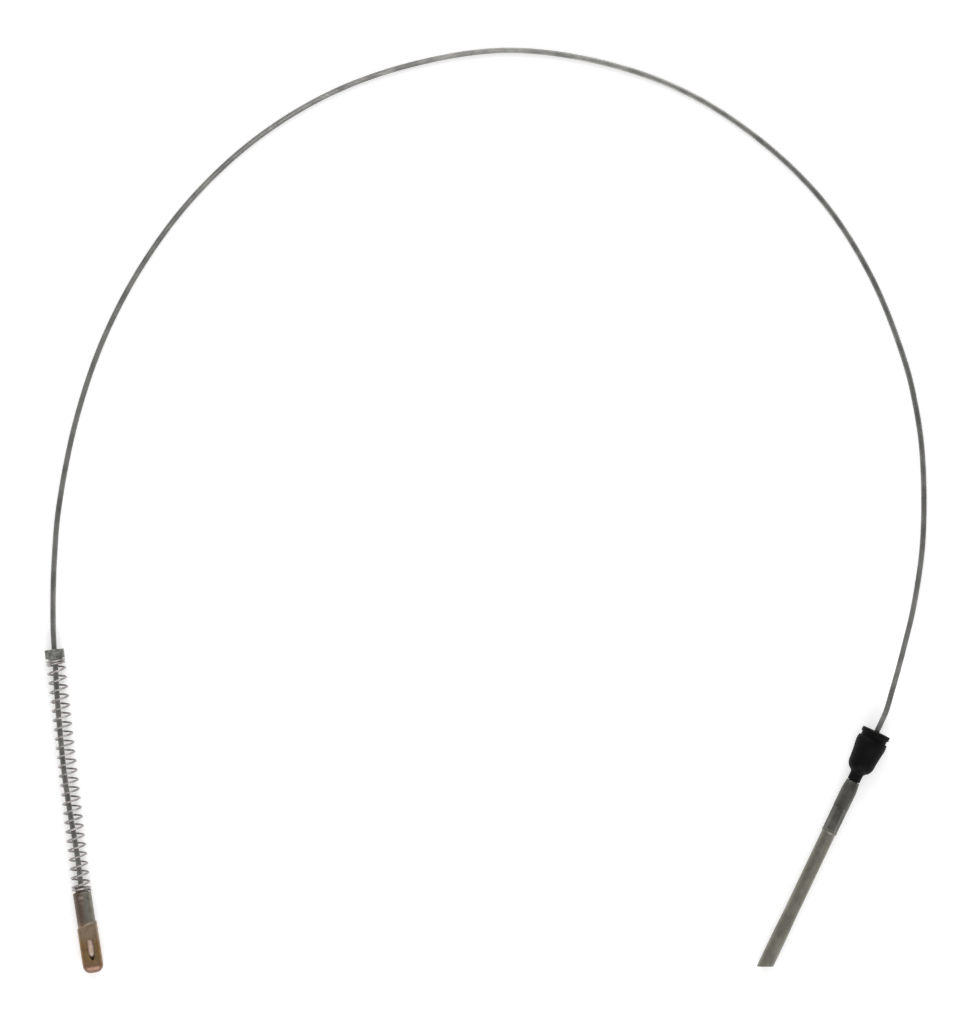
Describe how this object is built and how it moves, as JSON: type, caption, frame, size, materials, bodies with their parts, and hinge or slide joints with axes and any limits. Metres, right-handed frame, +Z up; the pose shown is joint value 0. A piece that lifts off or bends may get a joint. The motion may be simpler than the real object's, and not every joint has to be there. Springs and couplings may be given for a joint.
{
  "type": "parking brake cable",
  "caption": "Bare steel wire rope in a wide loop, with a spring and lever fitting on one end and a rubber boot and guide tube on the other.",
  "frame": {"origin": "on the floor, midway between the two ends' fittings, which lie side by side with the rope's loop behind them", "axes": "+X from the lever end to the guide tube end, +Y towards the top of the loop, +Z up from the floor"},
  "size_m": [0.4765, 0.4999, 0.0172],
  "materials": {
    "wire_rope": "galvanised steel wires laid as one rope, dull grey with a slight sheen",
    "seat_steel": "turned steel, clear zinc plate gone greenish grey",
    "spring_steel": "drawn spring wire, zinc plated",
    "fitting_steel": "pressed steel, yellow zinc plate, golden brown towards the nose",
    "button_steel": "swaged steel, bright with a warm tint",
    "boot_rubber": "moulded black rubber, satin",
    "tube_steel": "drawn steel tube, dull grey plate",
    "ferrule_steel": "swaged steel"
  },
  "bodies": {
    "cable": {"wire_rope": "wire_rope", "return_spring": "spring_steel", "lever_fitting": "fitting_steel", "rope_button": "button_steel", "boot": "boot_rubber", "guide_tube": "tube_steel", "tube_ferrule": "ferrule_steel"},
    "seat": {"spring_seat": "seat_steel"}
  },
  "joints": [
    {"name": "seat_slide", "type": "slide", "parent": "cable", "child": "seat", "axis": [0.0677, -0.9977, 0], "range_m": [0, 0.04], "stiffness_N_per_m": 730, "deforming": ["return_spring"]}
  ]
}
